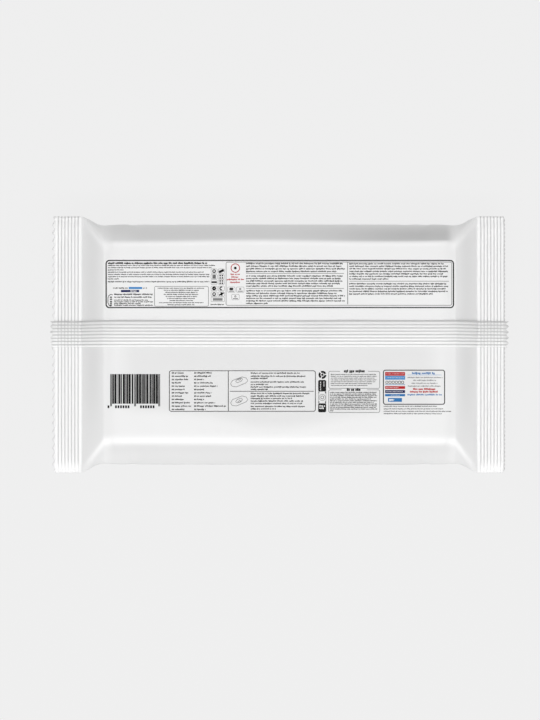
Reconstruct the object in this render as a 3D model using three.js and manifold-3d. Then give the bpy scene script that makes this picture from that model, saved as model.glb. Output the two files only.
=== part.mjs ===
// A sealed flow pack of wet wipes, lying on its front with the back seam up.
//
// One web of film is wrapped round a folded stack of wipes. Its two long edges are sealed face to
// face into a fin that is folded flat on the back, and both ends are crimped shut between ribbed
// jaws and cut off with a toothed knife. The film and the stack inside it are one sealed solid.
// A resealable label is stuck over the dispensing opening on the front, which lies underneath.
//
// Millimetres, +Z up, +X along the pack. The origin is on the table, under the middle of the pack.

import * as THREE from "three";
import { mergeVertices } from "three/addons/utils/BufferGeometryUtils.js";
import Module from "manifold-3d";

// ---- Driving dimensions ----

const PACK_LENGTH = 250; // over the points of the toothed ends
const PACK_HEIGHT = 40; // front film to back film
const BODY_WIDTH = 132; // across the side walls, at half height
const PANEL_LENGTH = 195; // the panel between its creases
const PANEL_WIDTH = 112;
const SHOULDER = 7; // the band inside the creases where the panel bends down
const SHOULDER_DROP = 1.1;

const SEAL_WIDTH = 141;
const SEAL_DEPTH = 16; // from the body to the points of the teeth
const SEAL_THICKNESS = 0.7;
const CRIMP_COUNT = 8; // ribs that the jaws press into each end seal
const CRIMP_PITCH = 1.83;
const CRIMP_DEPTH = 0.5; // crest to groove
const TOOTH_COUNT = 31; // across one end seal
const TOOTH_DEPTH = 1.8;

const FIN_ROOT = -1.4; // where the fin leaves the back panel, along Y
const FIN_WIDTH = 14.8;
const FIN_THICKNESS = 0.6;
const FIN_RIB_COUNT = 8;
const FIN_RIB_DEPTH = 0.3;
const FIN_OVERHANG = 1.1; // past the teeth at both ends

const TUCK_DEPTH = 7; // how far the side film folds in beside each end seal
const TUCK_START = 12; // how far inside the panel's end the fold begins
const END_ROUNDNESS = 1.25; // exponent of the end's profile: 1 is a plane ramp

const LABEL_LENGTH = 104;
const LABEL_WIDTH = 64;
const LABEL_CORNER = 14;
const LABEL_THICKNESS = 0.25;
const TAB_LENGTH = 12;
const TAB_WIDTH = 26;
const TAB_CORNER = 6;

const RAMP_STEPS = 8; // cross-sections between the panel and each end seal

// ---- Worked out from them ----

const SEAL_START = PACK_LENGTH / 2 - SEAL_DEPTH;
const PANEL_END = PANEL_LENGTH / 2;
const FIN_END = PACK_LENGTH / 2 + FIN_OVERHANG;
const FIN_EDGE = FIN_ROOT + FIN_WIDTH;
const TOOTH_PITCH = SEAL_WIDTH / TOOTH_COUNT;
const MID_HEIGHT = LABEL_THICKNESS + PACK_HEIGHT / 2;
const HALF_SEAL = SEAL_THICKNESS / 2;
const HALF_RISE = PACK_HEIGHT / 2 - HALF_SEAL; // from the seal's face up to the panel

const { lerp, clamp, smoothstep } = THREE.MathUtils;

// ---- How the film runs: `along` is the distance from the middle, towards either end ----

// 0 at the end of the panel, 1 at the end seal.
function taper(along) {
  return clamp((along - PANEL_END) / (SEAL_START - PANEL_END), 0, 1);
}

// 1 over the panel, 0 at the end seal.
function fullness(along) {
  return 1 - Math.pow(taper(along), END_ROUNDNESS);
}

// How far the panel has bent down at a distance from its middle, towards a crease at `edge`.
function shoulderDrop(distance, edge) {
  const over = clamp((distance - edge + SHOULDER) / SHOULDER, 0, 1);
  return SHOULDER_DROP * over * over;
}

// Half the distance between the two creases: they run out to the corners of the end seal.
function creaseAt(along) {
  return lerp(PANEL_WIDTH / 2, SEAL_WIDTH / 2, taper(along));
}

// Half the width over the side walls, which flare out to the end seal's corners.
function flankAt(along) {
  return lerp(BODY_WIDTH / 2, SEAL_WIDTH / 2, smoothstep(taper(along), 0, 1));
}

// How far the side film is tucked in at half height. It is deepest just before the end seal.
function tuckAt(along) {
  const start = PANEL_END - TUCK_START;
  const t = clamp((along - start) / (SEAL_START - start), 0, 1);
  return TUCK_DEPTH * Math.sin(Math.PI * t * t);
}

// The ribs of the end seal: a zigzag that both faces of the seal follow.
function crimpAt(along) {
  const ribs = (along - SEAL_START) / CRIMP_PITCH;
  if (ribs <= 0 || ribs >= CRIMP_COUNT) return 0;
  const phase = ribs - Math.floor(ribs);
  const height = phase < 0.5 ? 1 - Math.abs(4 * phase - 1) : Math.abs(4 * phase - 3) - 1;
  return (CRIMP_DEPTH / 2) * height;
}

// Where a line of the panel lies at a station: lines near the fin run straight, and the others fan
// out with the creases.
function spread(along, across) {
  const distance = Math.abs(across);
  if (distance <= FIN_EDGE) return across;
  const share = (distance - FIN_EDGE) / (PANEL_WIDTH / 2 - FIN_EDGE);
  return Math.sign(across) * lerp(FIN_EDGE, creaseAt(along), share);
}

// The panel's height above half height, without the end seal's ribs.
function panelRise(along, across) {
  const drop = shoulderDrop(along, PANEL_END) + shoulderDrop(Math.abs(across), PANEL_WIDTH / 2);
  return HALF_SEAL + (HALF_RISE - drop) * fullness(along);
}

// ---- One cross-section: a ring of points, over the back from +Y to -Y and under the front ----

// Lines across one side of a panel, from its flat middle to the crease.
const EDGE = PANEL_WIDTH / 2;
const SHOULDER_LINES = [EDGE - SHOULDER, EDGE - SHOULDER / 2, EDGE];

// Lines of the back panel from +Y to -Y: the fin's lines stand off the panel by `lift`.
function backLines() {
  const plain = (across) => ({ across, lift: 0 });
  const lines = [...SHOULDER_LINES].reverse().map(plain);
  const ribPitch = FIN_WIDTH / FIN_RIB_COUNT;
  lines.push(plain(FIN_EDGE), { across: FIN_EDGE, lift: FIN_THICKNESS });
  for (let rib = 0; rib < FIN_RIB_COUNT; rib++) {
    const start = FIN_EDGE - rib * ribPitch;
    lines.push({ across: start - ribPitch * 0.25, lift: FIN_THICKNESS - FIN_RIB_DEPTH / 2 });
    lines.push({ across: start - ribPitch * 0.75, lift: FIN_THICKNESS + FIN_RIB_DEPTH / 2 });
  }
  lines.push({ across: FIN_ROOT, lift: FIN_THICKNESS }, plain(FIN_ROOT));
  return lines.concat(SHOULDER_LINES.map((across) => plain(-across)));
}

// Lines of the front panel, from -Y to +Y.
const FRONT_LINES = [...SHOULDER_LINES.map((across) => -across).reverse(), 0, ...SHOULDER_LINES];

// The side wall's lines, as shares of the way from one crease down to the other.
const WALL_SHARES = [0.12, 0.25, 0.38, 0.5, 0.62, 0.75, 0.88];

// Where a side wall lies: it bulges out below each crease, and beside the end seals its middle
// is folded in.
function wallPoint(along, share, side) {
  const crease = creaseAt(along);
  const middle = 1 - Math.abs(2 * share - 1);
  const bulge = (flankAt(along) - crease) * Math.sin((Math.PI / 2) * Math.min(1, middle * 2));
  const across = crease + bulge - tuckAt(along) * Math.pow(middle, 4);
  const rise = (1 - 2 * share) * panelRise(along, EDGE);
  return [side * across, MID_HEIGHT + rise + crimpAt(along)];
}

// The direction that a line of the fin stands off in, square to the panel.
function finNormal(along) {
  const step = 0.05;
  const slope = (panelRise(along + step, 0) - panelRise(along - step, 0)) / (2 * step);
  const length = Math.hypot(slope, 1);
  return { x: -slope / length, z: 1 / length };
}

function section(x) {
  const along = Math.abs(x);
  const end = Math.sign(x);
  const points = [];
  const normal = finNormal(along);
  for (const { across, lift } of backLines()) {
    const rise = panelRise(along, across) + crimpAt(along);
    points.push([x + end * normal.x * lift, spread(along, across), MID_HEIGHT + rise + normal.z * lift]);
  }
  for (const share of WALL_SHARES) points.push([x, ...wallPoint(along, share, -1)]);
  for (const across of FRONT_LINES) {
    const rise = panelRise(along, across) - crimpAt(along);
    points.push([x, spread(along, across), MID_HEIGHT - rise]);
  }
  for (const share of [...WALL_SHARES].reverse()) points.push([x, ...wallPoint(along, share, 1)]);
  return points;
}

// ---- The stations along the pack, from one end to the other ----

function stations() {
  const half = [0, PANEL_END - TUCK_START, PANEL_END - SHOULDER, PANEL_END - SHOULDER / 2];
  for (let i = 0; i <= RAMP_STEPS; i++) half.push(lerp(PANEL_END, SEAL_START, i / RAMP_STEPS));
  for (let rib = 0; rib < CRIMP_COUNT; rib++) {
    half.push(SEAL_START + (rib + 0.25) * CRIMP_PITCH, SEAL_START + (rib + 0.75) * CRIMP_PITCH);
  }
  half.push(SEAL_START + CRIMP_COUNT * CRIMP_PITCH, FIN_END);
  return [...half.slice(1).map((s) => -s).reverse(), ...half];
}

// ---- Geometry ----

// Skins cross-sections that have the same number of points, and closes both ends.
function loft(sections) {
  const ring = sections[0].length;
  const positions = sections.flat(2);
  const index = [];
  for (let row = 0; row + 1 < sections.length; row++) {
    for (let i = 0; i < ring; i++) {
      const a = row * ring + i;
      const b = row * ring + ((i + 1) % ring);
      index.push(a, b, a + ring, b, b + ring, a + ring);
    }
  }
  const flat = (points) => points.map(([, y, z]) => new THREE.Vector2(y, z));
  const last = (sections.length - 1) * ring;
  const cap = (points) => THREE.ShapeUtils.triangulateShape(flat(points), []);
  for (const [a, b, c] of cap(sections[0])) index.push(a, c, b);
  for (const [a, b, c] of cap(sections.at(-1))) index.push(last + a, last + b, last + c);
  const geometry = new THREE.BufferGeometry();
  geometry.setAttribute("position", new THREE.Float32BufferAttribute(positions, 3));
  geometry.setIndex(index);
  return geometry;
}

// The pack seen from above, with the knife's teeth along both ends.
function toothedOutline() {
  const half = SEAL_WIDTH / 2;
  const points = [];
  for (let i = 0; i <= 2 * TOOTH_COUNT; i++) {
    const across = -half + (i * TOOTH_PITCH) / 2;
    const onFin = across > FIN_ROOT - TOOTH_PITCH / 4 && across < FIN_EDGE + TOOTH_PITCH / 4;
    const tip = PACK_LENGTH / 2 + (onFin ? FIN_OVERHANG : 0);
    points.push(new THREE.Vector2(i % 2 ? tip : tip - TOOTH_DEPTH, across));
  }
  const opposite = points.map((p) => new THREE.Vector2(-p.x, p.y)).reverse();
  return new THREE.Shape([...points, ...opposite]);
}

const wasm = await Module();
wasm.setup();

function toSolid(geometry) {
  const bare = new THREE.BufferGeometry();
  bare.setAttribute("position", geometry.getAttribute("position"));
  if (geometry.index) bare.setIndex(geometry.index);
  const merged = mergeVertices(bare, 1e-4);
  return new wasm.Manifold(
    new wasm.Mesh({
      numProp: 3,
      vertProperties: new Float32Array(merged.attributes.position.array),
      triVerts: new Uint32Array(merged.index.array),
    }),
  );
}

function toGeometry(solid) {
  const { vertProperties, triVerts } = solid.getMesh();
  const geometry = new THREE.BufferGeometry();
  geometry.setAttribute("position", new THREE.BufferAttribute(vertProperties, 3));
  geometry.setIndex(new THREE.BufferAttribute(triVerts, 1));
  geometry.computeVertexNormals();
  return geometry;
}

// The film with the stack of wipes sealed inside it.
function filmPackGeometry() {
  const uncut = toSolid(loft(stations().map(section)));
  const knife = new THREE.ExtrudeGeometry(toothedOutline(), {
    depth: PACK_HEIGHT * 2,
    bevelEnabled: false,
  });
  knife.translate(0, 0, -PACK_HEIGHT / 2);
  return toGeometry(uncut.intersect(toSolid(knife)));
}

// Adds a rounded corner at (x, y) to an outline that is at the corner's start already.
function roundCorner(shape, x, y, radius, from) {
  const centre = { x: x - radius * Math.sign(x), y: y - radius * Math.sign(y) };
  shape.absarc(centre.x, centre.y, radius, from, from + Math.PI / 2, false);
}

// The resealable label: a rounded oblong with a lifting tab on its +X end.
function resealLabelGeometry() {
  const [x, y] = [LABEL_LENGTH / 2, LABEL_WIDTH / 2];
  const tab = x + TAB_LENGTH;
  const shape = new THREE.Shape();
  shape.moveTo(x, -y + LABEL_CORNER);
  shape.lineTo(x, -TAB_WIDTH / 2);
  roundCorner(shape, tab, -TAB_WIDTH / 2, TAB_CORNER, -Math.PI / 2);
  roundCorner(shape, tab, TAB_WIDTH / 2, TAB_CORNER, 0);
  shape.lineTo(x, TAB_WIDTH / 2);
  roundCorner(shape, x, y, LABEL_CORNER, 0);
  roundCorner(shape, -x, y, LABEL_CORNER, Math.PI / 2);
  roundCorner(shape, -x, -y, LABEL_CORNER, Math.PI);
  roundCorner(shape, x, -y, LABEL_CORNER, -Math.PI / 2);
  return new THREE.ExtrudeGeometry(shape, {
    depth: LABEL_THICKNESS,
    bevelEnabled: false,
    curveSegments: 8,
  });
}

// ---- The parts ----

const filmMaterial = new THREE.MeshStandardMaterial({
  color: "#efefef",
  roughness: 0.35,
  metalness: 0,
});
const labelMaterial = new THREE.MeshStandardMaterial({
  color: "#f4f4f2",
  roughness: 0.25,
  metalness: 0,
});

const filmPack = new THREE.Mesh(filmPackGeometry(), filmMaterial);
filmPack.name = "film_pack";

const resealLabel = new THREE.Mesh(resealLabelGeometry(), labelMaterial);
resealLabel.name = "reseal_label";

const wipesPack = new THREE.Group();
wipesPack.add(filmPack, resealLabel);

export default wipesPack;
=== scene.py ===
"""A sealed flow pack of wet wipes, lying on its front with the back seam up.

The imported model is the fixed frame. The film, the back fin, the label and the print are modelled
round it in metres, with +X along the pack, +Y across it and +Z up.
"""

import math
import random

import bpy
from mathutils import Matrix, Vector, noise


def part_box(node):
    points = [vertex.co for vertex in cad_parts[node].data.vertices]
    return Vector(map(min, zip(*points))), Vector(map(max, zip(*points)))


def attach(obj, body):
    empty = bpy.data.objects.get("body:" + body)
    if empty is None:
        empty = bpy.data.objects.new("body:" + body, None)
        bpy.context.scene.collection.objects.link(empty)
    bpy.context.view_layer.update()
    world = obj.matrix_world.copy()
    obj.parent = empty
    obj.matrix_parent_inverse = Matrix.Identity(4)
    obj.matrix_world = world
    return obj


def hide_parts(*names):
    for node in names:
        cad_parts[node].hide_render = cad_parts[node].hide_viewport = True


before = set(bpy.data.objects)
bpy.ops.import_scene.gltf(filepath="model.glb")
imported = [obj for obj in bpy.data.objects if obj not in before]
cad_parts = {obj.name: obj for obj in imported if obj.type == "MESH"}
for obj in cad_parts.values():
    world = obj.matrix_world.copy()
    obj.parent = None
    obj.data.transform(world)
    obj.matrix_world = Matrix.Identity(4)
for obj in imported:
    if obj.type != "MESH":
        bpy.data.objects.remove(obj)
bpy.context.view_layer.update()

bl_info = {
    "name": "Wet Wipes Pack",
    "version": (1, 0, 0),
    "blender": (4, 5, 0),
    "location": "3D View > Sidebar > Wipes",
    "description": "Models a sealed flow pack of wet wipes round its packed frame",
    "category": "Object",
}

MM = 0.001
FILM_LOW, FILM_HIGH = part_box("film_pack")
LABEL_LOW, LABEL_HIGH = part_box("reseal_label")

# The fin stands this far past the cut ends and off the back panel. Its own cut is coarser.
FIN_OVERHANG = 1.1 * MM
FIN_STAND = 0.75 * MM
FIN_TOOTH_DEPTH = 1.6 * MM
FIN_TOOTH_SHARE = 1.5  # teeth on the fin's cut for each one on the film's, over the same width
FIN_LOOSE = 0.35 * MM  # how far the free edge stands up where the fin is loosest

RIB_SHARPNESS = 1.8  # how much narrower the grooves of a ribbed seal are than its crests

# The printed tab starts this far past the label's end, over a soft edge.
TAB_PRINT_START = 1.6 * MM
TAB_PRINT_EDGE = 0.4 * MM

AIR_LIGHT = 0.483
# Each softbox's name, azimuth, elevation, distance, width, height and power.
SOFTBOXES = (
    ("top_box", -90, 80, 2.2, 1.6, 1.6, 10.0),
    ("front_box", -90, 56, 2.0, 2.0, 0.35, 11.5),
    ("left_box", 180, 35, 2.0, 1.6, 0.35, 5.5),
    ("right_box", 0, 35, 2.0, 1.6, 0.35, 5.5),
)


# ---- Sizes and colours ----


def length(name, description, default, **more):
    """A length property, shown in the scene's units."""
    return bpy.props.FloatProperty(
        name=name, description=description, default=default, subtype="DISTANCE", unit="LENGTH",
        precision=4, **more,
    )


def linear(code):
    """The linear colour of an sRGB hex value such as "#efefef"."""
    channels = [int(code[i : i + 2], 16) / 255 for i in (1, 3, 5)]
    return [c / 12.92 if c <= 0.04045 else ((c + 0.055) / 1.055) ** 2.4 for c in channels]


def colour(name, description, code):
    """A colour property with an sRGB hex default."""
    return bpy.props.FloatVectorProperty(
        name=name, description=description, default=linear(code), subtype="COLOR", size=3,
        min=0.0, max=1.0,
    )


class WipesFilm(bpy.types.PropertyGroup):
    """The film web, wrapped round the stack and crimped shut at both ends."""

    pack_length: length("Length", "Over the points of the toothed ends",
                        FILM_HIGH.x - FILM_LOW.x - 2 * FIN_OVERHANG)
    seal_width: length("Seal width", "Across an end seal", FILM_HIGH.y - FILM_LOW.y)
    back_height: length("Back height", "Of the back panel above the table", FILM_HIGH.z - FIN_STAND)
    front_height: length("Front height", "Of the front panel above the table", FILM_LOW.z)
    body_width: length("Body width", "Over the side walls at half height", 132 * MM)
    panel_length: length("Panel length", "Of the flat panel between its creases", 190 * MM)
    panel_width: length("Panel width", "Of the flat panel between its creases", 112 * MM)
    shoulder: length("Shoulder", "Width of the band that bends down to a crease", 8 * MM)
    shoulder_drop: length("Shoulder drop", "How far that band bends down", 1.5 * MM)
    seal_depth: length("Seal depth", "From the body to the points of the teeth", 16.4 * MM)
    seal_thickness: length("Seal thickness", "Of the crimped layers", 0.5 * MM)
    crimp_pitch: length("Crimp pitch", "From one rib of the end seal to the next", 1.82 * MM)
    crimp_depth: length("Crimp depth", "From crest to groove", 0.24 * MM)
    crimp_margin: length("Crimp margin", "From the body to the first crest", 1.2 * MM)
    crimp_count: bpy.props.IntProperty(name="Crimps", description="Ribs in an end seal", default=8)
    tooth_count: bpy.props.IntProperty(name="Teeth", description="Across one cut end", default=31)
    tooth_depth: length("Tooth depth", "Of the left end's zigzag cut", 1.4 * MM)
    fine_depth: length("Fine tooth depth", "Of the right end's finer zigzag cut", 0.5 * MM)
    fine_back: length("Fine cut", "How far inside the left cut's mirror image the right one lies",
                      0.8 * MM)
    corner_radius: length("Corner radius", "Of the end seal's far corners", 0.8 * MM)
    near_radius: length("Near corner radius", "Of the end seal's near corners", 1.8 * MM)
    seal_droop: length("Seal droop", "How far the end seal's side edges bend down", 0.9 * MM)
    tuck_depth: length("Tuck depth", "Of the side film folded in beside an end seal", 7 * MM)
    tuck_start: length("Tuck start", "How far inside the panel's end the fold begins", 12 * MM)
    ripple: length("Ripple", "Height of the slack film's soft waves", 0.16 * MM)
    # White and grey are the two ends of the film's tone, which paints highlight on the seals'
    # crests and shade in their grooves.
    white: colour("White", "Crests of the seals, where several layers of film lie together",
                  "#fdfdfd")
    grey: colour("Grey", "Grooves of the seals, pressed until they are half clear", "#c9c9c9")


class WipesFin(bpy.types.PropertyGroup):
    """The back seam, folded down flat on the back panel."""

    root: length("Root", "Where the fin leaves the back panel, across the pack", -1.4 * MM)
    width: length("Width", "From the root to the free edge", 14.2 * MM)
    lift: length("Lift", "Of the fin's face above the back panel", 0.5 * MM)
    thickness: length("Thickness", "Of the sealed layers", 0.3 * MM)
    rib_pitch: length("Rib pitch", "From one groove of the fin to the next", 1.79 * MM)
    rib_depth: length("Rib depth", "From crest to groove", 0.28 * MM)
    first_groove: length("First groove", "From the free edge to the first groove", 0.3 * MM)


class WipesLabel(bpy.types.PropertyGroup):
    """The resealable label on the front, which the pack lies on."""

    width: length("Width", "Along the pack, without the tab", LABEL_HIGH.x - LABEL_LOW.x - 12 * MM)
    depth: length("Depth", "Across the pack", LABEL_HIGH.y - LABEL_LOW.y)
    corner_radius: length("Corner radius", "Of the label's corners", 14 * MM)
    tab_length: length("Tab length", "Past the label's end", 12 * MM)
    tab_width: length("Tab width", "Across the pack", 26 * MM)
    tab_radius: length("Tab radius", "Of the tab's corners", 6 * MM)
    opening_length: length("Opening length", "Of the die cut under the label", 78 * MM)
    opening_width: length("Opening width", "Of the die cut under the label", 36 * MM)
    label_colour: colour("Label", "Tint of the label film", "#d9e6f2")
    tab_colour: colour("Tab", "Printed tab", "#5b93c7")


class WipesPrint(bpy.types.PropertyGroup):
    """The printing on the back panel, which is all plain marks without lettering."""

    lift: length("Lift", "Of the ink's underside above the film", 0.01 * MM)
    thickness: length("Thickness", "Of the ink, drawn thick enough to keep", 0.03 * MM)
    black: colour("Black", "Small type and bars", "#0a0a0a")
    dark: colour("Dark grey", "Frames", "#4a4a4a")
    mid: colour("Mid grey", "Thin rules", "#868686")
    white: colour("White", "Type on colour bands", "#f0f0f0")
    red: colour("Red", "Bands and lines", "#b51f25")
    blue: colour("Blue", "Bands and lines", "#2f73b0")
    light_blue: colour("Light blue", "Bands", "#4289c6")
    navy: colour("Navy", "Bands", "#161c55")


class WipesStage(bpy.types.PropertyGroup):
    """Camera, floor and soft studio light."""

    camera_height: length("Camera height", "Above the pack's half height", 1.05)
    camera_x: length("Camera X", "Of the camera over the pack", -5.2 * MM)
    camera_y: length("Camera Y", "Of the camera over the pack", -8.5 * MM)
    view_height: length("View height", "Seen at the pack's half height", 396 * MM)
    floor_colour: colour("Floor", "Pale lit sweep", "#efefef")


# ---- Small helpers ----


def lerp(a, b, t):
    return a + (b - a) * t


def clamp(t):
    return min(1.0, max(0.0, t))


def smooth(t):
    """An S-curve from 0 to 1."""
    t = clamp(t)
    return t * t * (3 - 2 * t)


def groove(u):
    """Depth across a ribbed seal: 0 on its crests, at whole u, and 1 in the grooves between."""
    return 0.5 - 0.5 * math.cos(2 * math.pi * u)


def pressed(u):
    """How much painted groove shade a ribbed seal takes at u: 0 over its crests and 1 over its
    grooves.
    """
    full_shade = 0.92  # the share of the depth at which the painted groove shade is full
    return smooth((groove(u) - 0.5) / (full_shade - 0.5))


def hill(x, centre, half_width):
    """A soft bump, 1 at its centre."""
    return math.exp(-(((x - centre) / half_width) ** 2))


def spaced(start, end, count):
    """count equal steps from start to end, without the end itself."""
    return [lerp(start, end, i / count) for i in range(count)]


def add_node(tree, kind, inputs=None, **settings):
    """Adds a shader node, sets it, and fills or links its inputs."""
    node = tree.nodes.new(kind)
    for name, value in settings.items():
        setattr(node, name, value)
    for name, value in (inputs or {}).items():
        if isinstance(value, bpy.types.NodeSocket):
            tree.links.new(value, node.inputs[name])
        else:
            node.inputs[name].default_value = value
    return node


def new_material(name):
    """An empty node material, with its node tree."""
    material = bpy.data.materials.new(name)
    material.use_nodes = True
    material.node_tree.nodes.clear()
    return material, material.node_tree


def deselect():
    """Leaves nothing selected, so that the next operator acts on its own piece alone."""
    if bpy.context.mode != "OBJECT":
        bpy.ops.object.mode_set(mode="OBJECT")
    bpy.ops.object.select_all(action="DESELECT")


def edit_selected(piece, element, chosen):
    """Enters edit mode with only the vertices or faces picked by chosen(element) selected."""
    mesh = piece.data
    for group in (mesh.vertices, mesh.edges, mesh.polygons):
        group.foreach_set("select", [False] * len(group))
    group = mesh.vertices if element == "VERT" else mesh.polygons
    group.foreach_set("select", [bool(chosen(member)) for member in group])
    bpy.context.tool_settings.mesh_select_mode = (element == "VERT", False, element == "FACE")
    bpy.ops.object.mode_set(mode="EDIT")


def finish_piece(piece, name, material, slot, *replaced):
    """Names a piece, gives it its material and ties it to the frame."""
    piece.name = name
    piece.data.name = name
    piece.data.materials.clear()
    piece.data.materials.append(material)
    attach(piece, "root")
    if replaced:
        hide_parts(*replaced)


def add_web(columns, rows, place):
    """Adds a flat grid and moves its vertex in column i and row j to place(i, j)."""
    deselect()
    bpy.ops.mesh.primitive_grid_add(
        x_subdivisions=columns - 1, y_subdivisions=rows - 1, size=1, calc_uvs=False
    )
    web = bpy.context.object
    for vertex in web.data.vertices:
        column = round((vertex.co.x + 0.5) * (columns - 1))
        row = round((vertex.co.y + 0.5) * (rows - 1))
        vertex.co = place(column, row)
    return web


def close_seams():
    """Merges the edges that meet in the active piece, and turns its faces outwards."""
    bpy.ops.object.mode_set(mode="EDIT")
    bpy.ops.mesh.select_all(action="SELECT")
    bpy.ops.mesh.remove_doubles(threshold=0.001 * MM)
    bpy.ops.mesh.normals_make_consistent(inside=False)
    bpy.ops.object.mode_set(mode="OBJECT")


def from_middle(row, half_rows):
    """Which end a row of a web lies towards, -1 or 1, and how many rows from the middle one."""
    step = row - half_rows + 1
    return -1 if step < 0 else 1, abs(step)


# ---- The shape of the film ----


class FilmShape:
    """Where the film runs. `along` is the distance from the pack's middle towards either end, and
    `line` names a line of the panel by its distance from the centre line at mid-length."""

    HELD_IN = 0.45 * MM  # how far each tuck draws the side wall in
    SLACK = 0.25 * MM  # how far the loose side wall wanders
    PLEAT_DEPTH = 0.6 * MM
    CREASE_WANDER = 0.35 * MM
    FAR_LEAN = 0.7 * MM  # how far the far crease bows in the middle
    NEAR_LEAN = 1.2 * MM  # how far the near crease lies inside its place
    HOLLOW = 0.35 * MM  # depth of the panel's shallow hollow
    FAR_TIGHTNESS = 0.25  # size of the far crease's shoulder for the near one's 1
    RAMP_ROUNDNESS = 1.15  # 1 is a plane ramp
    FLARE_ROUNDNESS = 1.25  # of the side's flare to the seal's corner

    # How white the film looks, from 0 for the painted shade of the seals' grooves to 1 for the
    # painted highlight of their crests.
    OVER_STACK = 0.64
    PAINTED_HOLLOW_SHADE = 0.2  # painted shade over the back panel's shallow hollow
    # Crests take painted highlight and grooves take painted shade.
    CREST_HIGHLIGHT = 1.06
    LAST_CREST_HIGHLIGHT = 1.05
    GROOVE_SHADE = 0.1
    LEFT_CUT = 0.72  # the strips past the last crest
    RIGHT_CUT = 0.1

    def __init__(self, film, fin):
        self.film = film
        self.tip = film.pack_length / 2
        self.seal_start = self.tip - film.seal_depth
        self.panel_end = film.panel_length / 2
        self.crease_line = film.panel_width / 2
        self.corner = film.seal_width / 2
        self.middle = (film.back_height + film.front_height) / 2
        self.seal_face = film.seal_thickness / 2
        self.full_rise = (film.back_height - film.front_height) / 2 - self.seal_face
        self.fin_edge = fin.root + fin.width

    def taper(self, along):
        """0 at the end of the panel, 1 at the end seal."""
        return clamp((along - self.panel_end) / (self.seal_start - self.panel_end))

    def shoulder_drop(self, distance, edge, width, depth):
        """How far the panel has bent down at a distance, towards a crease at an edge."""
        over = clamp((distance - edge + width) / width)
        return depth * over**2

    def flank(self, along):
        """How far out the side reaches: it flares to the end seal's corner."""
        t = clamp((along - self.panel_end + MM) / (self.seal_start - self.panel_end + MM))
        return lerp(self.film.body_width / 2, self.corner, smooth(t**self.FLARE_ROUNDNESS))

    def tuck(self, along):
        """How deep the side film is folded in."""
        start = self.panel_end - self.film.tuck_start
        t = clamp((along - start) / (self.seal_start - start))
        return self.film.tuck_depth * math.sin(math.pi * t * t)

    def crimp(self, along):
        """The ribs of the end seal, which both of its faces follow."""
        u = self.crimp_place(along)
        if u <= 0 or u >= self.film.crimp_count - 1:
            return 0.0
        return -self.film.crimp_depth * groove(u) ** RIB_SHARPNESS

    def crimp_place(self, along):
        """Whole on each crest of the end seal, counted from the body."""
        return (along - self.seal_start - self.film.crimp_margin) / self.film.crimp_pitch

    def droop(self, along, y):
        """The side edges of an end seal bend down."""
        edge = smooth((abs(y) - self.corner + 7 * MM) / (7 * MM))
        return self.film.seal_droop * edge * smooth((along - self.seal_start) / (3 * MM))

    def rise(self, along, line):
        """Height of either panel's face above half height."""
        film = self.film
        tight = self.FAR_TIGHTNESS if line > 0 else 1.0
        drop = self.shoulder_drop(along, self.panel_end, film.shoulder, film.shoulder_drop)
        drop += self.shoulder_drop(
            abs(line), self.crease_line, film.shoulder * tight, film.shoulder_drop * tight
        )
        fullness = 1 - self.taper(along) ** self.RAMP_ROUNDNESS
        return self.seal_face + (self.full_rise - drop) * fullness

    def whiteness(self, point):
        """How white the film looks: grooves are near 0 and crests are 1, as painted shade and
        painted highlight. Over the stack the film is in between. Painted shade darkens the lower
        back panel's shallow hollow, the side walls and the end ramps, and painted highlight runs
        along the creases and hips."""
        x, y, z = point
        along, side = abs(x), math.copysign(1, y)
        taper = self.taper(along)
        white = self.OVER_STACK
        if z > self.middle:
            # Painted shade over the back panel's shallow hollow, from a bowed line above the near
            # crease up to the fin.
            low_edge = -40 * MM - 9 * MM * hill(x, 0, 38 * MM)
            hollow_shade = smooth((y - low_edge) / (9 * MM)) * smooth((self.fin_edge - y) / (3 * MM))
            white -= self.PAINTED_HOLLOW_SHADE * hollow_shade * smooth((self.panel_end - 3 * MM - along) / (16 * MM))
            on_panel = smooth((self.panel_end - along) / (6 * MM))
            on_hip = smooth((along - self.panel_end + 5 * MM) / (5 * MM)) * (1 - taper**2)
            ramp = math.sin(math.pi * taper)
            # Painted shade on the end ramps, darker towards +Y.
            white -= 0.19 * ramp * smooth((y + 60 * MM) / (45 * MM))
            beyond = side * (y - self.spread(x, side * self.crease_line))  # outside the crease
            if side < 0:
                # The near crease gets a wide painted highlight, brightest at its hips; painted
                # shade darkens its wall and the ramps past it.
                to_end = smooth((self.panel_end + 2 * MM - along) / (4 * MM))
                white += 0.2 * to_end * hill(beyond, -2.4 * MM, 2.2 * MM)
                on_wall = smooth((beyond + 1.6 * MM) / (2 * MM))
                white -= on_panel * on_wall * (0.1 + 0.09 * hill(beyond, 1.2 * MM, 3 * MM))
                white += 0.45 * on_hip * hill(beyond, -1.9 * MM, 1.8 * MM)
                white -= 0.15 * ramp**0.5 * smooth((beyond - 0.3 * MM) / (1.5 * MM))
            else:
                # The far crease gets a thin painted highlight line; painted shade darkens the wall
                # below it, most to the right, and painted highlight lightens its hips and flared
                # corners.
                white += 0.22 * on_panel * hill(beyond, -1.7 * MM, 1.2 * MM)
                on_wall = smooth((beyond + 0.9 * MM) / (1.3 * MM))
                white -= 0.14 * on_panel * on_wall
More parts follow.
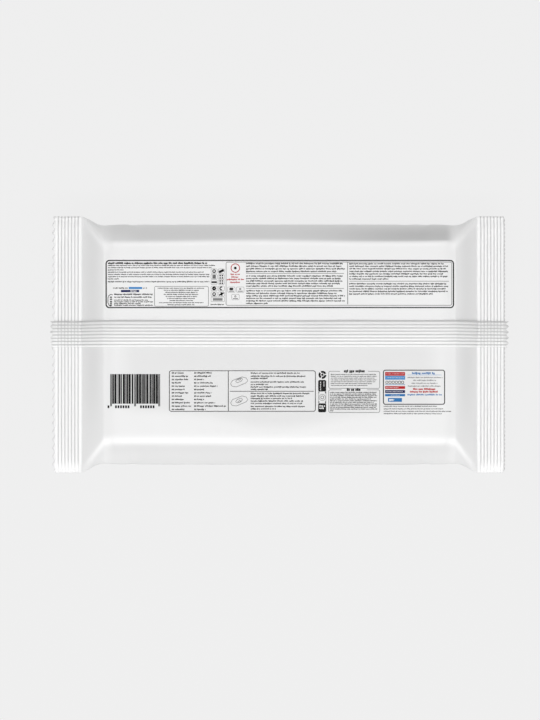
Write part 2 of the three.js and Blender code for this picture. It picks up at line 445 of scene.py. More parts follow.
                # tight masks the painted shade on the right part of the far wall.
                tight = smooth(x / (80 * MM)) * smooth((self.panel_end - x) / (5 * MM))
                white -= 0.44 * tight * on_wall * smooth((12 * MM - beyond) / (9 * MM))
                white += 0.27 * on_hip * hill(beyond, -1.9 * MM, 2.6 * MM)
                white += 0.2 * ramp**0.5 * smooth((beyond + MM) / (2 * MM))
        u = self.crimp_place(along)
        if u < 0:  # short of the seal's first crest
            return lerp(white, 1.0, smooth((along - self.seal_start) / (0.6 * MM)))
        if u > self.film.crimp_count - 1:  # past its last one
            past = clamp(2 * (u - self.film.crimp_count + 1))
            return lerp(self.LAST_CREST_HIGHLIGHT, self.RIGHT_CUT if x > 0 else self.LEFT_CUT, past)
        # The painted groove shade fades out towards the seal's near edge.
        near_edge = smooth((7 * MM - self.corner - y) / (6 * MM))
        return lerp(self.CREST_HIGHLIGHT, self.GROOVE_SHADE, pressed(u) * (1 - 0.8 * near_edge))

    def sway(self, x, line):
        """The creases wander a little with the slack in the film, and lie a little towards +Y."""
        near = smooth((abs(line) - self.crease_line + 16 * MM) / (16 * MM))
        side = math.copysign(1, line)
        wander = self.CREASE_WANDER * noise.noise((x / (60 * MM), 3.7 * side, 1.3))
        wander += self.FAR_LEAN * hill(x, -10 * MM, 45 * MM) if side > 0 else self.NEAR_LEAN
        return near * (1 - self.taper(abs(x))) * wander

    def spread(self, x, line):
        """Lines near the fin run straight, and the others fan out to the seal's corners."""
        distance = abs(line)
        if distance <= self.fin_edge:
            return line
        share = (distance - self.fin_edge) / (self.crease_line - self.fin_edge)
        crease = lerp(self.crease_line, self.corner, self.taper(abs(x)))
        return math.copysign(lerp(self.fin_edge, crease, share), line) + self.sway(x, line)

    def seal_line(self, y):
        """The line of the panel that meets the end seal at y."""
        distance = abs(y)
        if distance <= self.fin_edge:
            return y
        share = (distance - self.fin_edge) / (self.corner - self.fin_edge)
        return math.copysign(lerp(self.fin_edge, self.crease_line, share), y)

    def back_ripple(self, x, line):
        """Soft waves of the back panel, and the shallow hollow between the fin and a crease."""
        flat = (1 - self.taper(abs(x))) * (1 - smooth((abs(x) - 80 * MM) / (18 * MM)))
        calm = 1 - 0.7 * smooth((abs(line) - 40 * MM) / (14 * MM))
        wave = noise.noise((x / (46 * MM), line / (30 * MM), 0.4))
        hollow = hill(line, -31 * MM, 13 * MM) * math.cos(x / (75 * MM))
        return flat * calm * (self.film.ripple * wave - self.HOLLOW * hollow)

    def back(self, x, line):
        """A point of the back face."""
        along = abs(x)
        y = self.spread(x, line)
        height = self.rise(along, line) + self.back_ripple(x, line) + self.crimp(along)
        return Vector((x, y, self.middle + height - self.droop(along, y)))

    def front(self, x, line):
        """A point of the front face, which lies flat on the table."""
        along = abs(x)
        y = self.spread(x, line)
        height = self.crimp(along) - self.rise(along, line)
        return Vector((x, y, self.middle + height - self.droop(along, y)))

    def wall(self, x, share, side):
        """A point of a side wall, at a share of the way from the back crease to the front one."""
        along = abs(x)
        top = self.back(x, side * self.crease_line)
        bottom = self.front(x, side * self.crease_line)
        deep = 1 - abs(2 * share - 1)  # 0 at the creases, 1 half way down
        start = lerp(abs(top.y), abs(bottom.y), share)
        # Beside each tuck the wall stands out fuller than the round side of the loose middle.
        held_out = smooth((along - self.panel_end + self.film.tuck_start) / (7 * MM) + 1)
        round_side = 1 - (1 - deep) ** 1.4
        full_side = 1 - (1 - min(1, deep / 0.65)) ** 1.4
        reach = self.flank(along) - self.HELD_IN * held_out * (1 - self.taper(along))
        bulge = (reach - start) * lerp(round_side, full_side, held_out)
        fold = self.tuck(along) * deep**5
        slack = deep * (1 - deep * 0.4) * (1 - held_out) * noise.noise(
            (x / (30 * MM), share * 2.1, side * 5.0)
        )
        y = side * (start + bulge - fold + self.SLACK * slack - self.pleats(x, share, side))
        return Vector((x, y, lerp(top.z, bottom.z, share)))

    def pleats(self, x, share, side):
        """Depth of the shallow pleats that run from each end's tuck along the lower half of a
        side wall. They fan out and die away towards the middle."""
        along = abs(x)
        start, focus = 34 * MM, 20 * MM  # where they die away, and where their lines would meet
        low = smooth((share - 0.42) / 0.12) * smooth((0.97 - share) / 0.12)
        near_end = smooth((along - start) / (40 * MM)) * (1 - smooth(self.taper(along) * 1.6))
        fan = (share - 0.7) * 58 * MM / (along - focus) if near_end > 0 else 0.0
        wander = 0.5 * noise.noise((x / (24 * MM), 2.0 * side, math.copysign(4.1, x)))
        ridge = 1 - abs(math.sin(math.pi * (4.6 * fan + wander + 0.2 * side)))
        return self.PLEAT_DEPTH * low * near_end * ridge**3

    def cut(self, y, end):
        """How far from the middle the knife's zigzag leaves the film, at y across the pack. The
        right end, where end is 1, has finer teeth."""
        film = self.film
        count, depth, back = film.tooth_count, film.tooth_depth, 0.0
        if end > 0:
            count, depth, back = 2 * film.tooth_count, film.fine_depth, film.fine_back
        teeth = (y + self.corner) / (2 * self.corner) * count + 0.5
        valley = abs(2 * (teeth - math.floor(teeth)) - 1)
        radius = film.corner_radius if y > 0 else film.near_radius
        into = max(0.0, abs(y) - self.corner + radius)
        round_off = radius - math.sqrt(max(0.0, radius**2 - into**2))
        return self.tip - back - depth * valley - round_off

    def stations(self):
        """Where the cross-sections lie, from the middle to the last crest. A rib has nine."""
        film = self.film
        bend = self.panel_end - film.tuck_start
        ribs_start = self.seal_start + film.crimp_margin
        last_crest = ribs_start + (film.crimp_count - 1) * film.crimp_pitch
        half = spaced(0, bend, 34) + spaced(bend, self.panel_end, 14)
        half += spaced(self.panel_end, self.seal_start, 20) + spaced(self.seal_start, ribs_start, 2)
        return half + spaced(ribs_start, last_crest, 9 * (film.crimp_count - 1)) + [last_crest]


def build_film(shape):
    """The film web: a grid wrapped round the stack, whose ends close along the cut."""
    stations = shape.stations()
    last = stations[-1]
    edge_rows = 4
    half_rows = len(stations) + edge_rows
    strips = 4 * shape.film.tooth_count
    across = [lerp(shape.corner, -shape.corner, i / strips) for i in range(strips + 1)]
    lines = [shape.seal_line(y) for y in across]
    wall_steps = 22
    walls = [i / wall_steps for i in range(1, wall_steps)]
    ring = [("back", line) for line in lines]
    ring += [("wall", share, -1) for share in walls]
    ring += [("front", line) for line in reversed(lines)]
    ring += [("wall", 1 - share, 1) for share in walls]
    # The grid's own seam lies in the middle of the front.
    start = len(lines) + len(walls) + len(lines) // 2
    ring = ring[start:] + ring[:start]

    def face(x, member):
        if member[0] == "back":
            return shape.back(x, member[1])
        if member[0] == "front":
            return shape.front(x, member[1])
        return shape.wall(x, member[1], member[2])

    def place(column, row):
        member = ring[column % len(ring)]
        end, step = from_middle(row, half_rows)
        if step < len(stations):
            return face(end * stations[step], member)
        point = face(end * last, member)
        share = (step - len(stations) + 1) / edge_rows
        along = lerp(last, shape.cut(point.y, end), share)
        point = face(end * along, member)
        if share == 1:  # both faces meet at the cut
            point.z = shape.middle + shape.crimp(along) - shape.droop(along, point.y)
        return point

    film = add_web(len(ring) + 1, 2 * half_rows - 1, place)
    close_seams()
    round_creases(film, shape)
    bpy.ops.object.shade_smooth()
    set_tone_and_painted_light(film, shape.whiteness)
    return film


def set_tone_and_painted_light(piece, of_point):
    """Stores how white each vertex is, painted highlight and painted shade included, for the
    material.
    """
    layer = piece.data.attributes.new("whiteness", "FLOAT", "POINT")
    for vertex, value in zip(piece.data.vertices, layer.data):
        value.value = of_point(vertex.co)


def round_creases(film, shape):
    """Softens the folded edges of the panels. The far crease of the back is the sharpest."""

    def near_fold(reach, start):
        def chosen(vertex):
            x, y, z = vertex.co
            if not start < abs(x) < shape.seal_start:
                return False
            line = math.copysign(shape.crease_line, y)
            back, front = shape.back(x, line), shape.front(x, line)
            above = reach * (0.6 if y > 0 and abs(x) < shape.panel_end - 8 * MM else 1)
            return (vertex.co - back).length < above or (vertex.co - front).length < reach

        return chosen

    # How far from the crease, from where along the pack, and how many passes.
    all_along, hips = (2.2 * MM, -1, 6), (4.2 * MM, shape.panel_end - 5 * MM, 10)
    for reach, start, times in (all_along, hips):
        edit_selected(film, "VERT", near_fold(reach, start))
        bpy.ops.mesh.vertices_smooth(factor=0.5, repeat=times)
        bpy.ops.object.mode_set(mode="OBJECT")


def build_fin(shape, fin):
    """The back seam: a ribbed strip that follows the panel, the ramps and the end seals' ribs."""
    stations = shape.stations()
    last = stations[-1]
    edge_rows = 4
    half_rows = len(stations) + edge_rows
    steps = 60
    tip = shape.tip + FIN_OVERHANG

    def cut(y):
        """Where the knife's zigzag leaves the fin, from the middle."""
        teeth = (y + shape.corner) / (2 * shape.corner) * shape.film.tooth_count * FIN_TOOTH_SHARE
        return tip - FIN_TOOTH_DEPTH * abs(2 * (teeth - math.floor(teeth)) - 1)

    def rib_place(y):
        """Whole in each groove of the fin, counted from its free edge."""
        return (shape.fin_edge - fin.first_groove - y) / fin.rib_pitch

    def face(x, share):
        """A point of the fin's upper face, lifted at a right angle to the panel and the ramps."""
        line = fin.root + fin.width * share
        rib = -fin.rib_depth * groove(rib_place(line) + 0.5) ** RIB_SHARPNESS
        joined = smooth(share * fin.width / (0.6 * MM))
        loose = FIN_LOOSE * share**3 * (0.5 + noise.noise((x / (28 * MM), 0.7, 9.1)))
        lift = (fin.lift + rib + max(0.0, loose)) * joined
        step = 0.05 * MM
        ahead, behind = shape.rise(abs(x + step), line), shape.rise(abs(x - step), line)
        slope = (ahead - behind) / (2 * step)
        size = math.hypot(slope, 1)
        return shape.back(x, line) + Vector((-slope / size * lift, 0, lift / size))

    def place(column, row):
        share = column / steps
        end, step = from_middle(row, half_rows)
        if step < len(stations):
            return face(end * stations[step], share)
        reach = (step - len(stations) + 1) / edge_rows
        line = fin.root + fin.width * share
        return face(end * lerp(last, cut(line), reach), share)

    strip = add_web(steps + 1, 2 * half_rows - 1, place)
    layer = strip.modifiers.new("Layers", "SOLIDIFY")
    layer.thickness = fin.thickness
    layer.offset = -1
    bpy.ops.object.modifier_apply(modifier=layer.name)
    bpy.ops.object.shade_smooth_by_angle(angle=math.radians(50))

    def whiteness(point):
        """How white the fin looks. Its ribs take painted highlight on their crests and painted
        shade in their grooves. The crests are greyest at the free edge, and the first groove holds
        the darkest painted shade, a painted shadow under the free edge. Over the end seals it takes
        some of their painted tone."""
        u = rib_place(point.y)
        depth = pressed(u + 0.5)
        edge_crest, root_crest, first_groove, other_grooves = 0.54, 0.96, -0.2, 0.0
        crest = lerp(edge_crest, root_crest, clamp(u / 7))
        white = lerp(crest, first_groove if u < 0.5 else other_grooves, depth)
        # A painted sheen spot near the middle, and a painted darker patch to its right.
        white += 0.06 * (hill(point.x, 3 * MM, 6 * MM) - 1.5 * hill(point.x, 19 * MM, 9 * MM))
        # Over the end seals the fin takes some of their painted groove shade.
        if abs(point.x) > shape.seal_start:
            white -= 0.45 * (1 - shape.whiteness(point)) * (1 - 0.4 * depth)
        # Painted shade over the teeth of the cut.
        past_teeth = smooth((abs(point.x) - tip + 2.2 * MM) / (1.5 * MM))
        return clamp(white - 0.3 * past_teeth)

    set_tone_and_painted_light(strip, whiteness)
    return strip


# ---- Outlines, the label and the print ----


def rounded(corners, steps=5):
    """Points round a closed outline of square corners, each given as x, y and radius."""
    points = []
    for i, (x, y, radius) in enumerate(corners):
        corner = Vector((x, y))
        before = (Vector(corners[i - 1][:2]) - corner).normalized()
        after = (Vector(corners[(i + 1) % len(corners)][:2]) - corner).normalized()
        centre = corner + (before + after) * radius
        for step in range(steps + 1):
            turn = math.pi / 2 * step / steps
            points.append(centre - (after * math.cos(turn) + before * math.sin(turn)) * radius)
    return points


def box_corners(x0, y0, x1, y1, radius):
    """The corners of a box for rounded(), from the top right one against the clock."""
    return [(x1, y1, radius), (x0, y1, radius), (x0, y0, radius), (x1, y0, radius)]


def circle(x, y, radius, steps=20, start=0.0, sweep=2 * math.pi):
    """Points round a circle, or round an arc of it, which has one more point than steps."""
    is_arc = sweep < 2 * math.pi
    turns = (start + sweep * i / steps for i in range(steps + is_arc))
    return [Vector((x + radius * math.cos(t), y + radius * math.sin(t))) for t in turns]


def resampled(points, count):
    """count points at equal steps round a closed outline."""
    ring = points + points[:1]
    lengths = [0.0]
    for a, b in zip(ring, ring[1:]):
        lengths.append(lengths[-1] + (b - a).length)
    result, k = [], 0
    for i in range(count):
        at = lengths[-1] * i / count
        while lengths[k + 1] < at:
            k += 1
        share = (at - lengths[k]) / max(1e-12, lengths[k + 1] - lengths[k])
        result.append(ring[k].lerp(ring[k + 1], share))
    return result


def build_label(label):
    """The resealable label: a thin tabbed sheet with the opening's die cut round its middle."""
    count = 240
    width, depth, radius = label.width / 2, label.depth / 2, label.corner_radius
    tab, half_tab, tab_radius = label.tab_length, label.tab_width / 2, label.tab_radius
    inner_radius = tab_radius * 0.4  # where the tab joins the label
    edge = resampled(
        [Vector((width + tab, 0))]
        + rounded(
            [
                (width + tab, half_tab, tab_radius),
                (width, half_tab, inner_radius),
                (width, depth, radius),
                (-width, depth, radius),
                (-width, -depth, radius),
                (width, -depth, radius),
                (width, -half_tab, inner_radius),
                (width + tab, -half_tab, tab_radius),
            ],
            8,
        ),
        count,
    )

    def opening(margin):
        """The die cut's outline, moved out by a margin."""
        half_x, half_y = label.opening_length / 2 + margin, label.opening_width / 2 + margin
        corners = box_corners(-half_x, -half_y, half_x, half_y, half_y * 0.8)
        return resampled([Vector((half_x, 0))] + rounded(corners, 10), count)

    low, high = LABEL_LOW.z, LABEL_HIGH.z
    soft = 0.06 * MM  # the worn rim's bevel
    cut, cut_depth = 0.35 * MM, 0.12 * MM
    middle = Vector((0, 0))
    # Outlines and their heights, from the middle of the stuck face round to the middle of the
    # outer face.
    rings = [
        ([middle] * count, high),
        (edge, high),
        (edge, low + soft),
        ([p * (1 - soft / width) for p in edge], low),
        (opening(cut), low),
        (opening(cut / 2), low + cut_depth),
        (opening(-cut / 2), low + cut_depth),
        (opening(-cut), low),
        ([middle] * count, low),
    ]

    def place(column, row):
        ring, z = rings[row]
        point = ring[column % count]
        return Vector((point.x, point.y, z))

    sheet = add_web(count + 1, len(rings), place)
    close_seams()
    bpy.ops.object.shade_smooth_by_angle(angle=math.radians(40))
    return sheet


class Artwork:
    """Strips of ink on the back panel, in millimetres. A strip is a row of cross-sections, and
    small type is only blocks: nothing here is lettering."""

    STEP = 1.5  # the longest piece of a line, short enough to follow the panel's edges
    CORNER = 6  # points in each corner of an outline

    # Small type, in shares of its size.
    ASCENDER = 0.38
    DESCENDER = 0.34
    LETTER_GAP = 0.24
    WORD_GAP = 0.7

    def __init__(self):
        self.strips = {}
        self.random = random.Random(7)

    def bar(self, ink, x0, y0, x1, y1):
        """A filled rectangle, in steps short enough to follow the film."""
        steps = max(1, math.ceil((x1 - x0) / self.STEP))
        xs = [lerp(x0, x1, i / steps) for i in range(steps + 1)]
        self.strips.setdefault(ink, []).append([((x, y0), (x, y1)) for x in xs])

    def solid(self, ink, x0, y0, x1, y1, radius):
        """A filled rectangle with rounded corners."""
        turns = [math.pi / 2 * i / 4 for i in range(5)]
        ends = [(radius * (1 - math.cos(t)), radius * (1 - math.sin(t))) for t in turns]
        sections = [(x0 + along, inset) for along, inset in ends]
        sections += [(x1 - along, inset) for along, inset in reversed(ends)]
        self.strips.setdefault(ink, []).append([((x, y0 + i), (x, y1 - i)) for x, i in sections])

    def stroke(self, ink, points, weight, closed=False):
        """A line of one weight through the points."""
        path = [Vector(p) for p in points]
        path = path + path[:1] if closed else path
        fine = [path[0]]
        for a, b in zip(path, path[1:]):
            steps = max(1, math.ceil((b - a).length / self.STEP))
            fine += [a.lerp(b, (i + 1) / steps) for i in range(steps)]
        last = len(fine) - 1
        sections = []
        for i, point in enumerate(fine):
            before = fine[i - 1] if i else (fine[-2] if closed else point)
            after = fine[i + 1] if i < last else (fine[1] if closed else point)
            way = (after - before).normalized()
            side = Vector((-way.y, way.x)) * weight / 2
            sections.append((tuple(point - side), tuple(point + side)))
        self.strips.setdefault(ink, []).append(sections)

    def frame(self, ink, x0, y0, x1, y1, radius, weight, ends=None):
        """A rounded frame. Its ends may be in a darker ink than its long sides."""
        outline = rounded(box_corners(x0, y0, x1, y1, radius), self.CORNER - 1)
        if ends is None:
            self.stroke(ink, outline, weight, closed=True)
            return
        left, right = self.CORNER, 3 * self.CORNER  # where the two ends start
        self.stroke(ends, outline[left:right], weight)
        self.stroke(ends, outline[right:] + outline[:left], weight)
        for y in (y0, y1):
            self.stroke(ink, [(x0 + radius, y), (x1 - radius, y)], weight)

    def words(self, ink, x0, x1, y, size, bold=1.0):
        """A line of small type, each letter a block."""
        x = x0
        while x < x1 - size:
            for _ in range(self.random.choice((2, 3, 4, 5, 6, 7, 8, 9, 10))):
                width = size * self.random.uniform(0.55, 1.0)
                above = size * self.random.choice((0, 0, self.ASCENDER))
                below = size * self.random.choice((0, 0, 0, self.DESCENDER))
                if x + width > x1:
                    break
                half = size * bold / 2
                self.bar(ink, x, y - half - below, x + width * bold**0.5, y + half + above)
                x += width + size * self.LETTER_GAP
            x += size * self.WORD_GAP

    def paragraph(self, ink, x0, x1, top, pitch, size, shares, centred=False):
        """Lines of small type, each a share of the full width."""
        for i, share in enumerate(shares):
            start = lerp(x0, x1, (1 - share) / 2) if centred else x0
            self.words(ink, start, start + (x1 - x0) * share, top - i * pitch, size)


def draw_upper(art):
    """The long framed block between the far crease and the fin."""
    art.frame("dark", -93.7, 19.8, 93.9, 45.2, 1.7, 0.66, "black")
    art.frame("mid", -28.9, 21.0, 92.9, 44.3, 0.8, 0.32)
    art.stroke("mid", [(36.7, 44.3), (36.7, 21.6)], 0.4)
    # Left block: small type, two colour bars, a bracket and a boxed note.
    art.words("black", -92.7, -38.9, 43.7, 0.55, 1.3)
    shares = (1.0, 0.97, 0.15, 0.9, 0.95, 0.95, 0.11)
    art.paragraph("black", -92.7, -34.9, 42.5, 1.21, 0.38, shares)
    art.words("black", -92.7, -37.6, 33.7, 0.46)
    art.words("black", -89.9, -81.8, 30.3, 0.5)
    art.bar("light_blue", -81.4, 29.8, -74.2, 30.9)
    art.words("mid", -73.8, -71.5, 30.3, 0.5)
    art.bar("navy", -85.6, 28.1, -75.8, 29.3)
    art.words("white", -80.5, -77.0, 28.7, 0.45)
    art.stroke(
        "black",
        [(-90.0, 26.6), (-91.0, 27.0), (-92.2, 26.3), (-92.7, 25.0), (-92.7, 22.4), (-92.1, 21.0),
         (-90.9, 20.5)],
        0.35,
    )
    for y in (25.4, 24.3, 23.1, 22.2, 21.2):
        art.bar("black", -91.6, y - 0.35, -90.5, y + 0.3)
    art.words("black", -89.3, -68.3, 26.9, 0.5, 1.1)
    art.words("black", -89.3, -69.0, 25.4, 0.46, 1.1)
    art.paragraph("black", -89.3, -68.3, 23.8, 0.93, 0.43, (0.87, 1.0, 0.68, 1.0))
    art.frame("mid", -67.5, 20.5, -38.4, 31.2, 0.8, 0.28)
    shares = (0.92, 0.68, 0.63, 0.69, 0.61, 0.56, 0.46, 0.87, 0.54)
    art.paragraph("black", -66.9, -39.0, 30.2, 1.11, 0.37, shares, centred=True)
    draw_care_grid(art)
    # Middle: a ring, four short red lines, three small icons, then three notes in small type.
    art.stroke("red", circle(-23.9, 41.1, 2.3), 0.42, closed=True)
    art.solid("black", -24.6, 40.4, -23.2, 41.8, 0.6)
    for x0, x1, y in ((-26.5, -21.1, 37.7), (-26.0, -21.7, 36.2), (-28.5, -19.0, 34.9),
                      (-26.8, -20.9, 33.4)):
        art.words("red", x0, x1, y, 0.55)
    for x, y in ((-28.1, 28.0), (-23.3, 28.0), (-25.9, 24.0)):
        art.frame("mid", x, y, x + 4.1, y + 2.9, 0.6, 0.17)
        art.bar("dark", x + 0.7, y + 0.45, x + 3.4, y + 0.8)
        art.stroke("dark", circle(x + 2.0, y + 1.8, 0.4, 10), 0.3, closed=True)
    art.solid("black", -27.1, 29.1, -25.0, 30.5, 0.6)
    for y in (38.2, 30.1):
        art.stroke("mid", [(-18.1, y), (34.7, y)], 0.3)
    art.paragraph("black", -18.1, 35.6, 43.5, 1.42, 0.52, (0.98, 0.96, 1.0, 0.91))
    art.paragraph("black", -18.1, 35.6, 36.8, 1.36, 0.52, (0.97, 0.95, 0.98, 0.95, 0.87))
    art.paragraph("black", -18.1, 35.6, 28.8, 1.36, 0.52, (0.98, 0.91, 1.0, 0.97, 1.0, 0.22))
    # Right: two more notes.
    art.stroke("mid", [(37.6, 34.0), (91.4, 34.0)], 0.3)
    art.paragraph("black", 37.6, 91.4, 43.4, 1.37, 0.5, (0.96, 0.99, 0.97, 1.0, 0.95, 0.99, 0.4))
    art.paragraph("black", 37.6, 91.4, 32.6, 1.37, 0.5, (0.98, 1.0, 0.97, 0.99, 0.84))


def draw_care_grid(art):
    """Two columns of little pictures in thin cells. Each one is a plain shape."""
    rows = (38.2, 35.2, 32.3, 28.9, 25.8)
    pictures = ("ring", "leaf", "bars", "dots", "bar", "dots", "knot", "hook", "ring", "star")
    for i, picture in enumerate(pictures):
        x, y = (-37.0, -33.1)[i % 2], rows[i // 2]
        art.frame("mid", x, y, x + 3.3, y + 2.45, 0.4, 0.17)
        mx, my = x + 1.65, y + 1.22
        if picture == "ring":
            art.stroke("dark", circle(mx, my, 0.75, 12), 0.55, closed=True)
            art.bar("black", mx - 0.4, my - 1.0, mx + 0.4, my - 0.3)
        elif picture == "leaf":
            art.stroke("black", [(mx - 1.3, my - 0.5), (mx, my), (mx + 1.3, my + 0.6)], 1.3)
        elif picture == "bars":
            for k in (-0.6, 0.0, 0.6):
                art.bar("black", mx + k - 0.24, my - 1.0, mx + k + 0.24, my + 1.0)
        elif picture == "dots":
            for j, k in ((-0.6, -0.6), (-0.6, 0.6), (0.6, -0.6), (0.6, 0.6)):
                art.bar("black", mx + j - 0.38, my + k - 0.38, mx + j + 0.38, my + k + 0.38)
        elif picture == "bar":
            art.bar("black", mx - 1.4, my - 0.5, mx + 1.4, my + 0.45)
        elif picture == "knot":
            art.stroke("black", circle(mx, my, 0.65, 12), 0.9, closed=True)
        elif picture == "hook":
            art.stroke("black", circle(mx, my, 0.75, 12, 0.9, 4.3), 0.6)
        else:
            art.stroke("black", [(mx - 1.2, my - 0.6), (mx + 1.2, my + 0.7)], 0.8)
            art.stroke("black", [(mx - 0.2, my + 1.0), (mx + 0.4, my - 0.8)], 0.75)
    art.frame("mid", -37.0, 23.0, -29.8, 25.4, 0.3, 0.17)
    art.bar("mid", -36.0, 23.5, -30.8, 24.9)
    art.words("black", -37.2, -29.6, 21.4, 0.45)


def draw_barcode(art):
    """Bars of a made-up code that stands for no number."""
    module = 0.2825
    gain = 0.05  # how far the ink spreads past each edge of a bar
    x = -91.4
    bars = [(start, 1, 1) for start in (0, 2, 46, 48, 92, 94)]
    # Each half is a run of bar widths and gaps, in modules.
    left_half = ((3, 1), (4, 2), (1, 1), (3, 1), (2, 2), (4, 1), (1, 1), (3, 1), (4, 2), (3, 1))
    right_half = ((4, 1), (4, 1), (2, 1), (3, 1), (1, 1), (4, 2), (3, 1), (2, 1), (4, 1), (4, 1))
    for at, half in ((4, left_half), (50, right_half)):
        for wide, gap in half:
            bars.append((at, wide, 0))
            at += wide + gap
    for start, wide, guard in bars:
        left = x + start * module
        right = left + wide * module
        art.bar("black", left - gain, -32.1 - 1.4 * guard, right + gain, -16.1)
    for start, count in ((-92.9, 1), (-88.8, 6), (-75.3, 6)):
        for k in range(count):
            left = start + 1.36 * k
            art.bar("black", left, -34.5, left + 0.95, -33.0)


def draw_lower(art):
    """Barcode, two columns of short lines with two pictures, notes and colour bands."""
    draw_barcode(art)
    art.frame("dark", -59.5, -36.2, 19.3, -14.3, 1.1, 0.38, "black")
    art.stroke("dark", [(-27.7, -14.5), (-27.7, -36.0)], 0.4)
    art.stroke("dark", [(-26.8, -25.4), (18.4, -25.4)], 0.35)
    first = (4.9, 7.6, 7.6, 3.2, 5.4, 5.4, 7.6, 4.0, 4.9, 8.4, 9.2, 5.4)
    second = (8.0, 7.7, 4.2, 8.5, 11.2, 4.0, 8.0, 8.0, 4.2, 10.1, 16.0, 5.0)
    for i, (a, b) in enumerate(zip(first, second)):
        y = -15.5 - 1.79 * i
        for x, reach in ((-58.2, a), (-46.1, b)):
            art.bar("black", x, y - 0.35, x + 0.5, y + 0.4)
            art.bar("black", x + 0.65, y - 0.35, x + 1.15, y + 0.4)
            art.words("black", x + 1.6, x + 1.6 + reach, y, 0.55)
    for y, reach in ((-15.6, 26.6), (-17.3, 29.8), (-18.5, 9.3), (-20.4, 28.7), (-21.7, 9.9),
                     (-23.1, 30.1), (-24.4, 9.3), (-26.6, 32.0), (-28.0, 29.3), (-29.3, 22.3),
                     (-30.7, 28.2), (-32.0, 27.7), (-33.6, 29.6), (-34.9, 13.6)):
        art.words("black", -15.6, reach - 15.6, y, 0.5)
    for y, lid in ((-20.2, 0.9), (-30.5, -0.7)):
        draw_pack(art, -21.9, y, lid)
    draw_icon_column(art)
    # Two titled notes, each title in a gap of its frame.
    for top, low, left, right, x0, x1 in ((-14.6, -23.8, 32.6, 47.7, 34.7, 46.0),
                                          (-24.6, -36.8, 33.4, 47.1, 36.3, 43.9)):
        # The outline starts after the top right corner and runs round against the clock.
        outline = rounded(box_corners(26.5, low, 54.0, top, 0.8), art.CORNER - 1)
        outline = outline[art.CORNER :] + outline[: art.CORNER]
        art.stroke("mid", [(left, top)] + outline + [(right, top)], 0.3)
        art.words("black", x0, x1, top, 0.85, 1.3)
    art.paragraph("black", 27.6, 52.5, -16.3, 0.99, 0.3, (0.98, 1.0, 0.96, 1.0, 0.97, 0.9, 0.8))
    shares = (1.0, 0.97, 1.0, 0.98, 0.87, 1.0, 0.93, 1.0, 0.99, 0.96, 1.0, 0.08)
    art.paragraph("black", 27.2, 52.8, -26.0, 0.9, 0.37, shares)
    draw_claims(art)


def draw_pack(art, x, y, lid):
    """A little line drawing of a pack, seen from a corner, with its label."""
    body = [(-4.6, -1.2), (-3.6, 0.6), (1.6, 2.6), (3.9, 2.0), (4.7, 0.6), (3.8, -0.6),
            (-1.4, -2.8), (-3.8, -2.5)]
    art.stroke("mid", [(x + a, y + b) for a, b in body], 0.28, closed=True)
    flap = [(-1.9, -0.2), (-0.9, 1.0), (1.2, 1.7), (2.0, 0.9), (0.9, -0.3), (-1.0, -0.9)]
    art.stroke("mid", [(x + a, y + b + lid * 0.4) for a, b in flap], 0.3, closed=True)
    inner = [(-0.9, 0.0), (0.2, 0.8), (1.1, 0.7), (0.3, -0.1)]
    art.stroke("dark", [(x + a, y + b + lid) for a, b in inner], 0.3, closed=True)


def draw_icon_column(art):
    """A thick ring, a dark block, a pale ring and a second dark block, one above the other."""
    for start in (0.3, 2.4, 4.5):
        art.stroke("black", circle(23.1, -16.5, 1.6, 10, start, 1.75), 1.1)
        turn = start + 0.8
        inner = (23.1 + 0.7 * math.cos(turn), -16.5 + 0.7 * math.sin(turn))
        art.stroke("black", [(23.1, -16.5), inner], 0.7)
    art.solid("black", 20.8, -25.5, 25.1, -19.3, 0.8)
    art.solid("black", 20.8, -36.7, 25.1, -31.9, 0.8)
    for x, low, count in ((22.1, -24.8, 5), (23.9, -22.7, 3)):
        for k in range(count):
            art.bar("white", x - 0.25, low + k, x + 0.25, low + k + 0.5)
    for y in (-33.3, -34.5):
        art.words("white", 21.3, 24.8, y, 0.6)
    art.stroke("mid", circle(23.0, -28.7, 1.7), 0.25, closed=True)
    art.stroke("mid", circle(23.0, -28.7, 0.8, 12), 0.4, closed=True)
    for side in (-1, 1):
        art.bar("mid", 23.0 + 2.0 * side - 0.1, -31.9, 23.0 + 2.0 * side + 0.1, -25.5)
        for low, high in ((-26.5, -25.5), (-32.0, -30.8)):
            art.bar("black", 22.7 + 1.8 * side, low, 23.2 + 1.8 * side, high)


